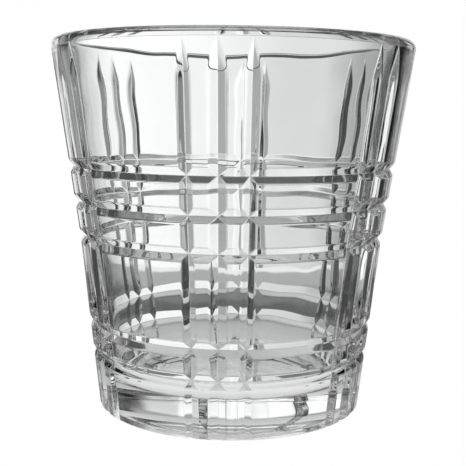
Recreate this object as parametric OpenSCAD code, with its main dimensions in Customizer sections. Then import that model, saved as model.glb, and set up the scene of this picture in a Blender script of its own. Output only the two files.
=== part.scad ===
// Whiskey tumbler: one piece of clear pressed glass, standing on z = 0 with its axis on +Z.
// Ring grooves run round the wall, and groups of upright grooves cross them.
// One group faces -Y. All sizes are in millimetres.

/* [Body] */
// Height from the foot to the top of the lip
height = 94; // [86:1:110]
// Widest diameter, at the lip
rim_d = 92; // [84:1:104]
// Outer diameter at the third ring groove, where the wall gets steeper
waist_d = 78.2; // [74:0.2:82]
// Outer diameter at the foot, before the heel is rounded
foot_d = 68.5; // [62:0.5:72]

/* [Inside] */
// Wall thickness at the lip
lip_t = 5; // [3:0.1:6]
// Height of the lip's rounded top, above the straight wall
lip_h = 2.3; // [1:0.1:3]
// Wall thickness at the third ring groove, grooves ignored
waist_t = 4.4; // [3.6:0.1:5.6]
// Wall thickness just above the floor, grooves ignored
low_wall_t = 5.2; // [3.6:0.1:6]
// Thickness of the solid base, up to the floor inside
base_t = 8.6; // [6:0.2:13]
// Radius between the floor and the wall inside
floor_round = 6; // [3:0.5:8]

/* [Foot] */
// Radius of the heel, where the wall meets the foot
heel_round = 1; // [0.6:0.1:3]
// Inner diameter of the flat ring that the tumbler stands on
ring_id = 52; // [40:1:54]
// Depth of the shallow hollow under the base
hollow_h = 1.2; // [0.6:0.1:2.5]

/* [Ring grooves] */
// Heights of the two low ring grooves
low_rings = [14.5, 22.2];
// Heights of the three high ring grooves; the wall changes slope at the first
high_rings = [44.5, 53.3, 62.2];
// Width of a ring groove
ring_w = 3.4; // [2:0.1:4.5]
// Depth of a ring groove
ring_depth = 1.05; // [0.4:0.05:1.6]

/* [Upright grooves] */
// Number of groups round the wall
groups = 6; // [3:1:8]
// Distance from the middle groove of a group to its neighbours at the foot
side_offset = 5.93; // [5:0.01:7]
// How far the neighbours lean away from the middle groove, in mm per mm of height
side_lean = 0.0165; // [0:0.0005:0.04]
// Width of the middle groove of a group
middle_w = 4.1; // [2:0.1:4.5]
// Width of the two outer grooves of a group
side_w = 3.1; // [2:0.1:4.5]
// Depth of an upright groove
groove_depth = 1.1; // [0.4:0.1:1.6]
// Distance from the top of the lip to a groove's pointed end
tip_drop = 3.6; // [3:0.1:8]
// Distance from the top of the lip to where a groove has its full depth
full_drop = 9.6; // [9:0.2:20]

/* [Hidden] */
$fn = 96;
glass = [0.84, 0.9, 0.92, 0.5];
rim_r = rim_d / 2;
waist_r = waist_d / 2;
foot_r = foot_d / 2;
waist_z = high_rings[0];
lip_r = lip_t / 2;
lip_z = height - lip_h;
floor_z = base_t + floor_round;
wall_steps = 6;
arc_steps = 6;
outside = 2;
overlap = 0.4;

// Outer radius of the smooth wall at a height
function wall_r(z) = z < waist_z
    ? foot_r + (waist_r - foot_r) * z / waist_z
    : waist_r + (rim_r - waist_r) * (z - waist_z) / (lip_z - waist_z);

// Inner radius of the wall at a height: a gentle curve through its three thicknesses
function inner_r(z) =
    (wall_r(floor_z) - low_wall_t) * (z - waist_z) * (z - lip_z) / (floor_z - waist_z) / (floor_z - lip_z)
    + (waist_r - waist_t) * (z - floor_z) * (z - lip_z) / (waist_z - floor_z) / (waist_z - lip_z)
    + (rim_r - lip_t) * (z - floor_z) * (z - waist_z) / (lip_z - floor_z) / (lip_z - waist_z);

// Points along an arc with radii r (across, up) about a centre, from angle a to angle b
function arc(centre, r, a, b) = [for (i = [0 : arc_steps])
    let (turn = a + (b - a) * i / arc_steps) centre + [r[0] * cos(turn), r[1] * sin(turn)]];

// The three points of one V groove in the wall's outline
function ring_points(z) = [
    [wall_r(z - ring_w / 2), z - ring_w / 2],
    [wall_r(z) - ring_depth, z],
    [wall_r(z + ring_w / 2), z + ring_w / 2]];

// Half outline of the glass: foot, heel, grooved wall, lip, inner wall and floor
function outline() = concat(
    [[0, hollow_h], [ring_id / 2 - hollow_h * 3, hollow_h], [ring_id / 2, 0]],
    arc([wall_r(heel_round) - heel_round, heel_round], [heel_round, heel_round], -90, 0),
    [for (z = concat(low_rings, high_rings)) each ring_points(z)],
    arc([rim_r - lip_r, lip_z], [lip_r, lip_h], 0, 180),
    [for (i = [1 : wall_steps - 1]) let (z = lip_z + (floor_z - lip_z) * i / wall_steps) [inner_r(z), z]],
    arc([inner_r(floor_z) - floor_round, floor_z], [floor_round, floor_round], 0, -90),
    [[0, base_t]]);

// Angle from the middle groove of a group to its neighbour at a height
function side_turn(z) =
    asin((side_offset + side_lean * max(z, 0)) / (wall_r(max(z, 0)) - groove_depth));

// A point given by [radius, height, angle from -Y], as seen after a turn back about Z
function place(point, turn) = [
    point[0] * sin(point[2] - turn),
    -point[0] * cos(point[2] - turn),
    point[1]];

// A long V-shaped cutter whose apex runs from one such point to the next, and a little past both
module wedge(from, to, width) {
    turn = (from[2] + to[2]) / 2;
    start = place(from, turn);
    run = place(to, turn) - start;
    half = width / 2 * (1 + outside / groove_depth);
    rotate([0, 0, turn])
        translate(start)
            rotate([asin(-run[1] / norm(run)), atan2(run[0], run[2]), 0])
                translate([0, 0, -overlap])
                    linear_extrude(height = norm(run) + 2 * overlap)
                        polygon([[0, 0], [half, -groove_depth - outside], [-half, -groove_depth - outside]]);
}

// One upright groove near -Y: it follows the wall and rises out of it under the lip
module upright_groove(side) {
    full_z = height - full_drop;
    tip_z = height - tip_drop;
    rise = (wall_r(tip_z) - wall_r(full_z) + groove_depth) / (tip_z - full_z);
    apex = [
        [wall_r(-outside) - groove_depth, -outside, side * side_turn(-outside)],
        [waist_r - groove_depth, waist_z, side * side_turn(waist_z)],
        [wall_r(full_z) - groove_depth, full_z, side * side_turn(full_z)],
        [wall_r(tip_z) + rise * outside, tip_z + outside, side * side_turn(tip_z)]];
    for (i = [0 : len(apex) - 2]) wedge(apex[i], apex[i + 1], side == 0 ? middle_w : side_w);
}

module tumbler() {
    color(glass)
        difference() {
            rotate_extrude() polygon(outline());
            for (g = [0 : groups - 1], side = [-1 : 1])
                rotate([0, 0, g * 360 / groups]) upright_groove(side);
        }
}

tumbler();
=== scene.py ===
"""Whiskey tumbler: one piece of clear pressed glass, rebuilt as one fine closed mesh round the CAD frame."""

import math

import bpy
import numpy as np
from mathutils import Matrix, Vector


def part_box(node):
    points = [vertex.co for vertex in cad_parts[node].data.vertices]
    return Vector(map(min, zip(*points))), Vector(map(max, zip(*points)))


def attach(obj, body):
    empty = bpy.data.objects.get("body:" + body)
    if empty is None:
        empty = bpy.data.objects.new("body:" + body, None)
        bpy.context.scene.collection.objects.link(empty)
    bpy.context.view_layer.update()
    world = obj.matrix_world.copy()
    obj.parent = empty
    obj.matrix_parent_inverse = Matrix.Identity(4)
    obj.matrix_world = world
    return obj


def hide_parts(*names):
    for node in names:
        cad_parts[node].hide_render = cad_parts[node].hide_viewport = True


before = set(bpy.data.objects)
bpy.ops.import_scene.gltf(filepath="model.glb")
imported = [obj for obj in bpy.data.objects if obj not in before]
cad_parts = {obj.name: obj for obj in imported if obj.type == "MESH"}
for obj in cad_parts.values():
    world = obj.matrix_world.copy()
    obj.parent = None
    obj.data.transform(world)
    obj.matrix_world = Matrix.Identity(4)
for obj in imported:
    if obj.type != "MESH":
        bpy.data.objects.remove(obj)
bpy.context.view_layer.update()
low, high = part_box("tumbler")

MM = 0.001
HEIGHT = high[2] - low[2]
RIM_R = (high[0] - low[0]) / 2

# Sizes, most of which the CAD model also has
WAIST_R = 39.1 * MM
FOOT_R = 34.25 * MM
LIP_T = 5.0 * MM
LIP_H = 2.3 * MM
WAIST_T = 4.4 * MM
LOW_WALL_T = 5.2 * MM
BASE_T = 8.6 * MM
FLOOR_ROUND = 6 * MM
HEEL_ROUND = 1.0 * MM
RING_R = 26 * MM
HOLLOW_H = 1.2 * MM
HOLLOW_EDGE = 0.8 * MM
RING_HEIGHTS = [14.5 * MM, 22.2 * MM, 44.5 * MM, 53.3 * MM, 62.2 * MM]
WAIST_Z = RING_HEIGHTS[2]
RING_W = 3.4 * MM
GROOVE_DEPTH = 1.1 * MM
GROUPS = 6
SIDE_OFFSET = 5.93 * MM
SIDE_LEAN = 0.0165
MIDDLE_W = 4.1 * MM
SIDE_W = 3.1 * MM
TIP_DROP = 3.6 * MM
FULL_DROP = 9.6 * MM

# Studio light that the glass sees, in degrees from straight behind it and from the horizon
# Brightness between the windows
DARK = 0.006
# The bright window behind the glass, as overlaid panels: left, right, softness of the sides, brightness
PANELS = [(-30, 26, 3, 0.44), (-30, 12, 4, 0.36), (-20, -1, 7, 0.34)]
PANEL_LOW, PANEL_TOP, PANEL_SOFT = -15, 21.5, 1.5
# The other windows: left, right, softness of the sides, brightness, bottom, top, softness of the ends
WINDOWS = [
    (-62, -31, 6, 0.25, -12.5, 2, 3),
    (-36, 34, 5, 0.4, 21.5, 34, 3),
    (-42, 24, 8, 0.5, 36, 62, 6),
    (4, 30, 6, 0.25, 9, 21.5, 2),
    (-60, 60, 8, 0.06, -60, -15, 1),
    (-200, 200, 1, 0.2, 66, 200, 6),
    (156, 204, 6, 0.45, -90, 22, 6),
    (36, 74, 5, 0.16, -45, -10, 3),
    (106, 156, 6, 0.28, -90, 6, 4),
    (-156, -106, 6, 0.28, -90, 6, 4),
    (74, 106, 6, 0.45, -90, 16, 4),
    (-106, -74, 6, 0.45, -90, 16, 4),
]
# Painted light and shade on the floor that the glass sees: radius, brightness behind the glass, brightness in
# front of it
FLOOR = [
    (10 * MM, 0.5, 0.55),
    (24 * MM, 0.56, 0.72),
    (34 * MM, 0.75, 0.85),
    (38 * MM, 0.6, 0.95),
    (43 * MM, 0.58, 0.9),
    (47 * MM, 0.56, 0.12),
    (60 * MM, 0.5, 0.1),
    (84 * MM, 0.3, 0.06),
    (94 * MM, 0.13, 0.06),
    (104 * MM, 0.13, 0.06),
    (114 * MM, 0.22, 0.06),
]
# Painted steps in which it turns brighter further behind: inner radius, outer radius, added brightness
FAR_STEPS = [(122 * MM, 142 * MM, 0.26), (163 * MM, 169 * MM, 0.5)]
# Azimuths between which it does so, and the softness there
FAR_LEFT, FAR_RIGHT, FAR_SOFT = -36, 31, 5
# Radii between which painted shade darkens it to the sides of the glass
SHADE_FROM, SHADE_TO = 60 * MM, 100 * MM
# Half of the distance over which the back and front brightness blend
BLEND = 12 * MM
# Radius past which the glass sees the studio instead, and the distance over which it changes
FLOOR_R, FLOOR_FADE = 174 * MM, 4 * MM

# Camera: angles in degrees, and the lens for a 36 mm sensor
CAMERA_AZIMUTH = 4.15
CAMERA_PITCH = 7.65
CAMERA_ROLL = -0.72
CAMERA_TURN = -0.04
CAMERA_DISTANCE = 237.8 * MM
CAMERA_HEIGHT = 76.3 * MM
SENSOR = 36
LENS = 70.424

LIP_R = LIP_T / 2
LIP_Z = HEIGHT - LIP_H
CORNER_Z = BASE_T + FLOOR_ROUND

# Places across half a groove where the mesh has a line: 0 is the valley and 1 the edge
SHARES = [0, 0.03, 0.06, 0.2, 0.4, 0.6, 0.7, 0.78, 0.85, 0.92, 1.0, 1.08, 1.15, 1.22, 1.32, 1.44]
BOTH_SIDES = [-share for share in SHARES[:0:-1]] + SHARES
# Softness of the valleys and mitres, of the grooves' edges and of the upright ones near their tips, where the
# rim was melted smooth: shares of half a groove
SOFT = 0.05
EDGE_SOFT = 0.2
TOP_SOFT = 0.42
# Height above which the upright grooves' edges get softer
SOFT_FROM = WAIST_Z + 20 * MM
# Height of the waves in the inner wall, and of the faint swell all over
RIPPLE = 0.012 * MM
SWELL = 0.01 * MM


def soft_ramp(x, soft=SOFT):
    """Zero below zero and x above it, with the corner rounded."""
    return np.where(np.abs(x) < soft, (x + soft) ** 2 / (4 * soft), np.maximum(x, 0))


def soft_abs(x):
    """The size of x, with the corner at zero rounded."""
    return np.where(np.abs(x) < SOFT, (x ** 2 + SOFT ** 2) / (2 * SOFT), np.abs(x))


def wall_r(z):
    """Outer radius of the smooth wall at a height."""
    if z < WAIST_Z:
        return FOOT_R + (WAIST_R - FOOT_R) * z / WAIST_Z
    return WAIST_R + (RIM_R - WAIST_R) * (z - WAIST_Z) / (LIP_Z - WAIST_Z)


def inner_r(z):
    """Radius of the inner wall: a gentle curve through its radii at the floor, the waist and the lip."""
    heights = [CORNER_Z, WAIST_Z, LIP_Z]
    radii = [wall_r(h) - t for h, t in zip(heights, [LOW_WALL_T, WAIST_T, LIP_T])]
    return float(np.polyval(np.polyfit(heights, radii, 2), z))


def side_turn(z):
    """Angle from the middle groove of a group to a side one, which leans out less than the wall widens."""
    z = min(max(z, 0), HEIGHT)
    return math.asin((SIDE_OFFSET + SIDE_LEAN * z) / (wall_r(z) - GROOVE_DEPTH))


def upright_grooves():
    """Azimuth of each upright groove's group, its place in the group and its width, going round from -Y."""
    for group in range(GROUPS):
        for side in (-1, 0, 1):
            yield group * 2 * math.pi / GROUPS, side, MIDDLE_W if side == 0 else SIDE_W


def column_layout():
    """The mesh's columns, each a mix of two anchors: a group's azimuth, a side and a distance sideways."""
    columns = []
    grooves = list(upright_grooves())
    for i, (azimuth, side, width) in enumerate(grooves):
        after, after_side, after_width = grooves[(i + 1) % len(grooves)]
        after += 2 * math.pi if after < azimuth else 0
        columns += [(azimuth, side, share * width / 2, azimuth, side, 0, 0) for share in BOTH_SIDES]
        steps = 8 if side < 1 else 26
        near, far = SHARES[-1] * width / 2, -SHARES[-1] * after_width / 2
        columns += [(azimuth, side, near, after, after_side, far, k / steps) for k in range(1, steps)]
    return np.array(columns)


COLUMNS = column_layout()


def azimuths(radius, z):
    """Azimuth of every column at a radius and height: the grooves keep their width up the tapered wall."""
    turn = side_turn(z)
    start = COLUMNS[:, 0] + COLUMNS[:, 1] * turn + COLUMNS[:, 2] / radius
    end = COLUMNS[:, 3] + COLUMNS[:, 4] * turn + COLUMNS[:, 5] / radius
    return start + (end - start) * COLUMNS[:, 6]


def upright_depth(azimuth, radius, z):
    """Depth of the upright grooves, as a share, at points round the wall. They run out under the lip."""
    full_z, tip_z = HEIGHT - FULL_DROP, HEIGHT - TIP_DROP
    run_out = (tip_z - z) / (tip_z - full_z)
    run_out -= float(soft_ramp(run_out - 1, EDGE_SOFT))
    soft = float(np.interp(z, [SOFT_FROM, full_z], [EDGE_SOFT, TOP_SOFT]))
    depth = np.zeros_like(azimuth)
    for group, side, width in upright_grooves():
        centre = group + side * side_turn(z)
        off = (azimuth - centre + math.pi) % (2 * math.pi) - math.pi
        depth = np.maximum(depth, soft_ramp(run_out - soft_abs(off * radius / (width / 2)), soft))
    return depth


def ring_depth(z):
    """Depth of the ring grooves at a height, as a share."""
    off = [(z - centre) / (RING_W / 2) for centre in RING_HEIGHTS]
    return max(float(soft_ramp(1 - soft_abs(share), EDGE_SOFT)) for share in off)


def wall_row(r, z):
    """One row of the outer surface, at radius r before the grooves cut it. The deeper groove wins."""
    azimuth = azimuths(r, z)
    upright = upright_depth(azimuth, r, z)
    depth = upright + soft_ramp(ring_depth(z) - upright)
    uncut = (wall_r(z) - r) / GROOVE_DEPTH
    return r - soft_ramp(depth - uncut) * GROOVE_DEPTH, azimuth, z


def ripple(azimuth, z):
    """Slight waves of the inner wall, left by the plunger that pressed the glass."""
    wide = np.sin(9 * azimuth + 320 * z + 1.1) + np.sin(14 * azimuth - 510 * z + 0.4)
    return RIPPLE * (wide + 0.5 * np.sin(31 * azimuth + 90 * z))


def inner_row(z):
    """One row of the inner wall."""
    azimuth = azimuths(inner_r(z), z)
    return inner_r(z) + ripple(azimuth, z), azimuth, z


def plain_row(r, z):
    """One row of a surface without grooves."""
    return np.full(len(COLUMNS), r), azimuths(max(r, FOOT_R), z), z


def arc(r_centre, z_centre, radius, start, end, steps):
    """Points on an arc, as (r, z), from one angle in degrees to another."""
    turns = np.radians(np.linspace(start, end, steps + 1))
    return [(r_centre + radius * math.cos(t), z_centre + radius * math.sin(t)) for t in turns]


def spread(start, end, steps):
    """Evenly spaced values from start up to but not including end."""
    return list(np.linspace(start, end, steps + 1)[:-1])


def wall_heights():
    """Heights of the rows on the outer wall, close together across the ring grooves and at the tips."""
    rows, start = [], HEEL_ROUND
    for centre in RING_HEIGHTS:
        edge = SHARES[-1] * RING_W / 2
        rows += spread(start, centre - edge, max(2, round((centre - edge - start) / (1.2 * MM))))
        rows += [centre + share * RING_W / 2 for share in BOTH_SIDES[:-1]]
        start = centre + edge
    curve_z = HEIGHT - FULL_DROP - 2 * MM
    return rows + spread(start, curve_z, 12) + spread(curve_z, LIP_Z, 24)


def glass_rows():
    """The whole surface as rows: the hollow under the base, wall, lip, inner wall and floor."""
    dome_r, heel_r = RING_R - HOLLOW_EDGE, wall_r(HEEL_ROUND) - HEEL_ROUND
    rows = [plain_row(dome_r * k / 14, HOLLOW_H * (1 - (k / 14) ** 4)) for k in range(1, 15)]
    rows += [plain_row(r, 0) for r in spread(RING_R, heel_r, 4)]
    rows += [wall_row(r, z) for r, z in arc(heel_r, HEEL_ROUND, HEEL_ROUND, -90, 0, 10)[:-1]]
    rows += [wall_row(wall_r(z), z) for z in wall_heights()]
    lip = arc(RIM_R - LIP_R, LIP_Z, LIP_R, 0, 180, 20)
    rows += [plain_row(r, LIP_Z + (z - LIP_Z) * LIP_H / LIP_R) for r, z in lip]
    rows += [inner_row(z) for z in np.linspace(LIP_Z, CORNER_Z, 61)[1:-1]]
    flat_r = inner_r(CORNER_Z) - FLOOR_ROUND
    rows += [plain_row(r, z) for r, z in arc(flat_r, CORNER_Z, FLOOR_ROUND, 0, -90, 12)]
    return rows + [plain_row(flat_r * (1 - k / 10), BASE_T) for k in range(1, 10)]


def build_glass():
    """The tumbler as one closed mesh of triangles, each quad split along the edge that stands proud."""
    rows = glass_rows()
    r = np.array([row[0] for row in rows])
    turn = np.array([row[1] for row in rows])
    z = np.array([np.full(len(COLUMNS), row[2]) for row in rows])
    ends = np.array([[0, 0, HOLLOW_H], [0, 0, BASE_T]])
    points = np.concatenate([np.stack([r * np.sin(turn), -r * np.cos(turn), z], -1).reshape(-1, 3), ends])

    here = np.arange(r.size).reshape(r.shape)
    beside = np.roll(here, -1, axis=1)
    flat = r.ravel()
    a, b, c, d = [part.ravel() for part in (here[:-1], beside[:-1], beside[1:], here[1:])]
    proud = flat[a] + flat[c] >= flat[b] + flat[d]
    first = np.where(proud[:, None], np.stack([a, b, c], -1), np.stack([a, b, d], -1))
    second = np.where(proud[:, None], np.stack([a, c, d], -1), np.stack([b, c, d], -1))
    bottom = np.stack([np.full(len(COLUMNS), r.size), beside[0], here[0]], -1)
    floor = np.stack([np.full(len(COLUMNS), r.size + 1), here[-1], beside[-1]], -1)
    triangles = np.concatenate([first, second, bottom, floor])

    mesh = bpy.data.meshes.new("tumbler_glass")
    mesh.from_pydata(points.tolist(), [], triangles.tolist())
    mesh.update()
    mesh.shade_smooth()
    glass = bpy.data.objects.new("tumbler_glass", mesh)
    bpy.context.collection.objects.link(glass)
    return glass


def glass_material():
    """Clear glass: a faint swell from pressing, a hint of tint in the walls, a worn foot."""
    material = bpy.data.materials.new("clear_glass")
    material.use_nodes = True
    tree = material.node_tree
    nodes, links = tree.nodes, tree.links
    maths, ramp = node_tools(tree)
    shader = nodes["Principled BSDF"]
    shader.inputs["Transmission Weight"].default_value = 1
    shader.inputs["IOR"].default_value = 1.52
    place = nodes.new("ShaderNodeTexCoord").outputs["Object"]
    split = nodes.new("ShaderNodeSeparateXYZ")
    links.new(place, split.inputs[0])
    height = split.outputs["Z"]

    def noise(scale, detail):
        node = nodes.new("ShaderNodeTexNoise")
        node.inputs["Scale"].default_value = scale
        node.inputs["Detail"].default_value = detail
        links.new(place, node.inputs["Vector"])
        return node.outputs["Fac"]

    bump = nodes.new("ShaderNodeBump")
    bump.inputs["Strength"].default_value = 1
    bump.inputs["Distance"].default_value = SWELL
    links.new(noise(140, 1), bump.inputs["Height"])
    links.new(bump.outputs["Normal"], shader.inputs["Normal"])

    tint = nodes.new("ShaderNodeMix")
    tint.data_type = "RGBA"
    tint.inputs["A"].default_value = (0.975, 0.988, 0.984, 1)
    tint.inputs["B"].default_value = (0.992, 0.995, 0.994, 1)
    links.new(ramp(noise(60, 2), 0.3, 0.7), tint.inputs["Factor"])
    links.new(tint.outputs["Result"], shader.inputs["Base Color"])

    scuffs = maths("MULTIPLY", ramp(noise(900, 3), 0.45, 0.6), 0.25)
    worn = ramp(height, 0.6 * MM, 0.1 * MM)
    links.new(maths("MULTIPLY", scuffs, worn), shader.inputs["Roughness"])
    return material


def node_tools(tree):
    """Short ways to make math and ramp nodes in a node tree."""
    def wire(socket, value):
        if isinstance(value, bpy.types.NodeSocket):
            tree.links.new(value, socket)
        else:
            socket.default_value = value

    def maths(operation, *values):
        node = tree.nodes.new("ShaderNodeMath")
        node.operation = operation
        for socket, value in zip(node.inputs, values):
            wire(socket, value)
        return node.outputs[0]

    def ramp(value, zero_at, one_at):
        node = tree.nodes.new("ShaderNodeMapRange")
        node.interpolation_type = "SMOOTHSTEP"
        for name, setting in (("Value", value), ("From Min", zero_at), ("From Max", one_at)):
            wire(node.inputs[name], setting)
        return node.outputs["Result"]

    return maths, ramp


def across(maths, ramp, azimuth, left, right, edge):
    """How far a direction is inside a window sideways, from 0 to 1."""
    off = maths("ABSOLUTE", maths("WRAP", maths("SUBTRACT", azimuth, (left + right) / 2), 180, -180))
    half = (right - left) / 2
    return ramp(off, half + edge, half - edge)


def make_world():
    """Soft studio light: a bright window behind the glass, narrower ones round it, and dark between them."""
    world = bpy.data.worlds.new("studio")
    world.use_nodes = True
    bpy.context.scene.world = world
    tree = world.node_tree
    maths, ramp = node_tools(tree)

    split = tree.nodes.new("ShaderNodeSeparateXYZ")
    tree.links.new(tree.nodes.new("ShaderNodeTexCoord").outputs["Generated"], split.inputs[0])
    x, y, z = split.outputs
    azimuth = maths("ADD", maths("MULTIPLY", maths("ARCTAN2", x, y), 180 / math.pi), CAMERA_AZIMUTH)
    elevation = maths("MULTIPLY", maths("ARCSINE", z), 180 / math.pi)

    light = DARK
    for left, right, edge, brightness in PANELS:
        part = across(maths, ramp, azimuth, left, right, edge)
        light = maths("ADD", light, maths("MULTIPLY", part, brightness))
    up = maths("MULTIPLY", ramp(elevation, PANEL_LOW - PANEL_SOFT, PANEL_LOW + PANEL_SOFT),
               ramp(elevation, PANEL_TOP + PANEL_SOFT, PANEL_TOP - PANEL_SOFT))
    light = maths("MULTIPLY", light, up)
    for left, right, side_edge, brightness, low, high, end_edge in WINDOWS:
        up = maths("MULTIPLY", ramp(elevation, low - end_edge, low + end_edge),
                   ramp(elevation, high + end_edge, high - end_edge))
        part = maths("MULTIPLY", across(maths, ramp, azimuth, left, right, side_edge), up)
        light = maths("ADD", light, maths("MULTIPLY", part, brightness))
    seen = tree.nodes.new("ShaderNodeLightPath").outputs["Is Camera Ray"]
    background = tree.nodes["Background"]
    background.inputs["Color"].default_value = (1, 1, 1, 1)
    hidden = maths("MULTIPLY", light, maths("SUBTRACT", 1, seen))
    tree.links.new(maths("ADD", hidden, seen), background.inputs["Strength"])


def make_floor():
    """Pale floor, evenly white to the camera. To the glass it glows with painted light and shade: lit near
    its foot, shaded further out and bright again far behind.
    """
    mesh = bpy.data.meshes.new("stage_floor")
    size, below = 3, -0.05 * MM
    mesh.from_pydata([(-size, -size, below), (size, -size, below), (size, size, below), (-size, size, below)],
                     [], [(0, 1, 2, 3)])
    floor = bpy.data.objects.new("stage_floor", mesh)
    bpy.context.collection.objects.link(floor)
    material = bpy.data.materials.new("stage_pale_painted_glow")
    material.use_nodes = True
    tree = material.node_tree
    maths, ramp = node_tools(tree)
    tree.nodes.remove(tree.nodes["Principled BSDF"])

    place = tree.nodes.new("ShaderNodeSeparateXYZ")
    tree.links.new(tree.nodes.new("ShaderNodeNewGeometry").outputs["Position"], place.inputs[0])
    x, y, _ = place.outputs
    radius = maths("SQRT", maths("ADD", maths("MULTIPLY", x, x), maths("MULTIPLY", y, y)))
    turn = math.radians(CAMERA_AZIMUTH)
    forward = maths("SUBTRACT", maths("MULTIPLY", y, math.cos(turn)), maths("MULTIPLY", x, math.sin(turn)))
    azimuth = maths("ADD", maths("MULTIPLY", maths("ARCTAN2", x, y), 180 / math.pi), CAMERA_AZIMUTH)
    straight_back = across(maths, ramp, azimuth, FAR_LEFT, FAR_RIGHT, FAR_SOFT)
    # Painted shade on the floor to the sides of the glass
    painted_side_shade = maths("MULTIPLY", ramp(radius, SHADE_FROM, SHADE_TO), maths("SUBTRACT", 1, straight_back))
    behind = maths("MULTIPLY", ramp(forward, -BLEND, BLEND), maths("SUBTRACT", 1, painted_side_shade))
    sides = []
    for side in (1, 2):
        light = FLOOR[0][side]
        for near, far in zip(FLOOR[:-1], FLOOR[1:]):
            step = far[side] - near[side]
            if step:
                light = maths("ADD", light, maths("MULTIPLY", ramp(radius, near[0], far[0]), step))
        sides.append(light)
    back = maths("MULTIPLY", sides[0], behind)
    light = maths("ADD", back, maths("MULTIPLY", sides[1], maths("SUBTRACT", 1, behind)))
    for near, far, brightness in FAR_STEPS:
        step = maths("MULTIPLY", ramp(radius, near, far), straight_back)
        light = maths("ADD", light, maths("MULTIPLY", step, brightness))
    # The floor glows with this painted light and shade for the glass only; the camera sees it evenly white.
    seen = tree.nodes.new("ShaderNodeLightPath").outputs["Is Camera Ray"]
    glow = tree.nodes.new("ShaderNodeEmission")
    hidden = maths("MULTIPLY", light, maths("SUBTRACT", 1, seen))
    tree.links.new(maths("ADD", hidden, seen), glow.inputs["Strength"])
    mix = tree.nodes.new("ShaderNodeMixShader")
    open_air = maths("MULTIPLY", ramp(radius, FLOOR_R, FLOOR_R + FLOOR_FADE), maths("SUBTRACT", 1, seen))
    tree.links.new(open_air, mix.inputs[0])
    tree.links.new(glow.outputs[0], mix.inputs[1])
    tree.links.new(tree.nodes.new("ShaderNodeBsdfTransparent").outputs[0], mix.inputs[2])
    tree.links.new(mix.outputs[0], tree.nodes["Material Output"].inputs["Surface"])
    mesh.materials.append(material)


def make_camera():
    """Camera close to the glass, a little below its lip, as the picture was taken."""
    azimuth = math.radians(CAMERA_AZIMUTH)
    camera = bpy.data.objects.new("camera", bpy.data.cameras.new("camera"))
    camera.data.sensor_width = SENSOR
    camera.data.lens = LENS
    camera.location = (
        CAMERA_DISTANCE * math.sin(azimuth), -CAMERA_DISTANCE * math.cos(azimuth), CAMERA_HEIGHT)
    camera.rotation_euler = (
        math.radians(90 - CAMERA_PITCH), math.radians(CAMERA_ROLL), azimuth + math.radians(CAMERA_TURN))
    bpy.context.collection.objects.link(camera)
    bpy.context.scene.camera = camera


make_camera()
make_world()
make_floor()
bpy.context.scene.view_settings.view_transform = "Standard"
bpy.context.scene.cycles.denoising_input_passes = "RGB"
bpy.context.scene.cycles.max_bounces = 40
bpy.context.scene.cycles.transmission_bounces = 40
bpy.context.scene.cycles.glossy_bounces = 40
glass = build_glass()
glass.data.materials.append(glass_material())
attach(glass, "root")
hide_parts("tumbler")
